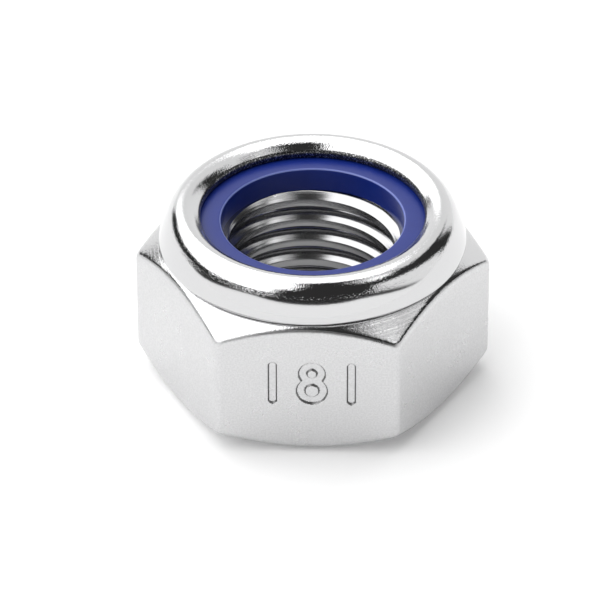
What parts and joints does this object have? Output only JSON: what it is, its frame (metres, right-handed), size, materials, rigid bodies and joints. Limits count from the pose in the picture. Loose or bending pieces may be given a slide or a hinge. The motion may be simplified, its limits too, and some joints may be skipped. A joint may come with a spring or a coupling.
{
  "type": "nylon insert lock nut",
  "caption": "Hexagon lock nut with a rolled collar that holds a blue nylon ring above the thread, so the screw can't shake loose.",
  "frame": {"origin": "centre of the bearing face, where the thread's axis meets it", "axes": "+Z along the thread's axis, from the bearing face to the nylon insert; -Y out of the front flat, +X towards an upright corner"},
  "size_m": [0.0184, 0.016, 0.0099],
  "materials": {
    "steel": "bright, satin on the flats and polished on the collar",
    "nylon": "smooth blue nylon with a soft sheen"
  },
  "bodies": {
    "root": {"nut_body": "steel", "nylon_insert": "nylon"}
  },
  "joints": []
}
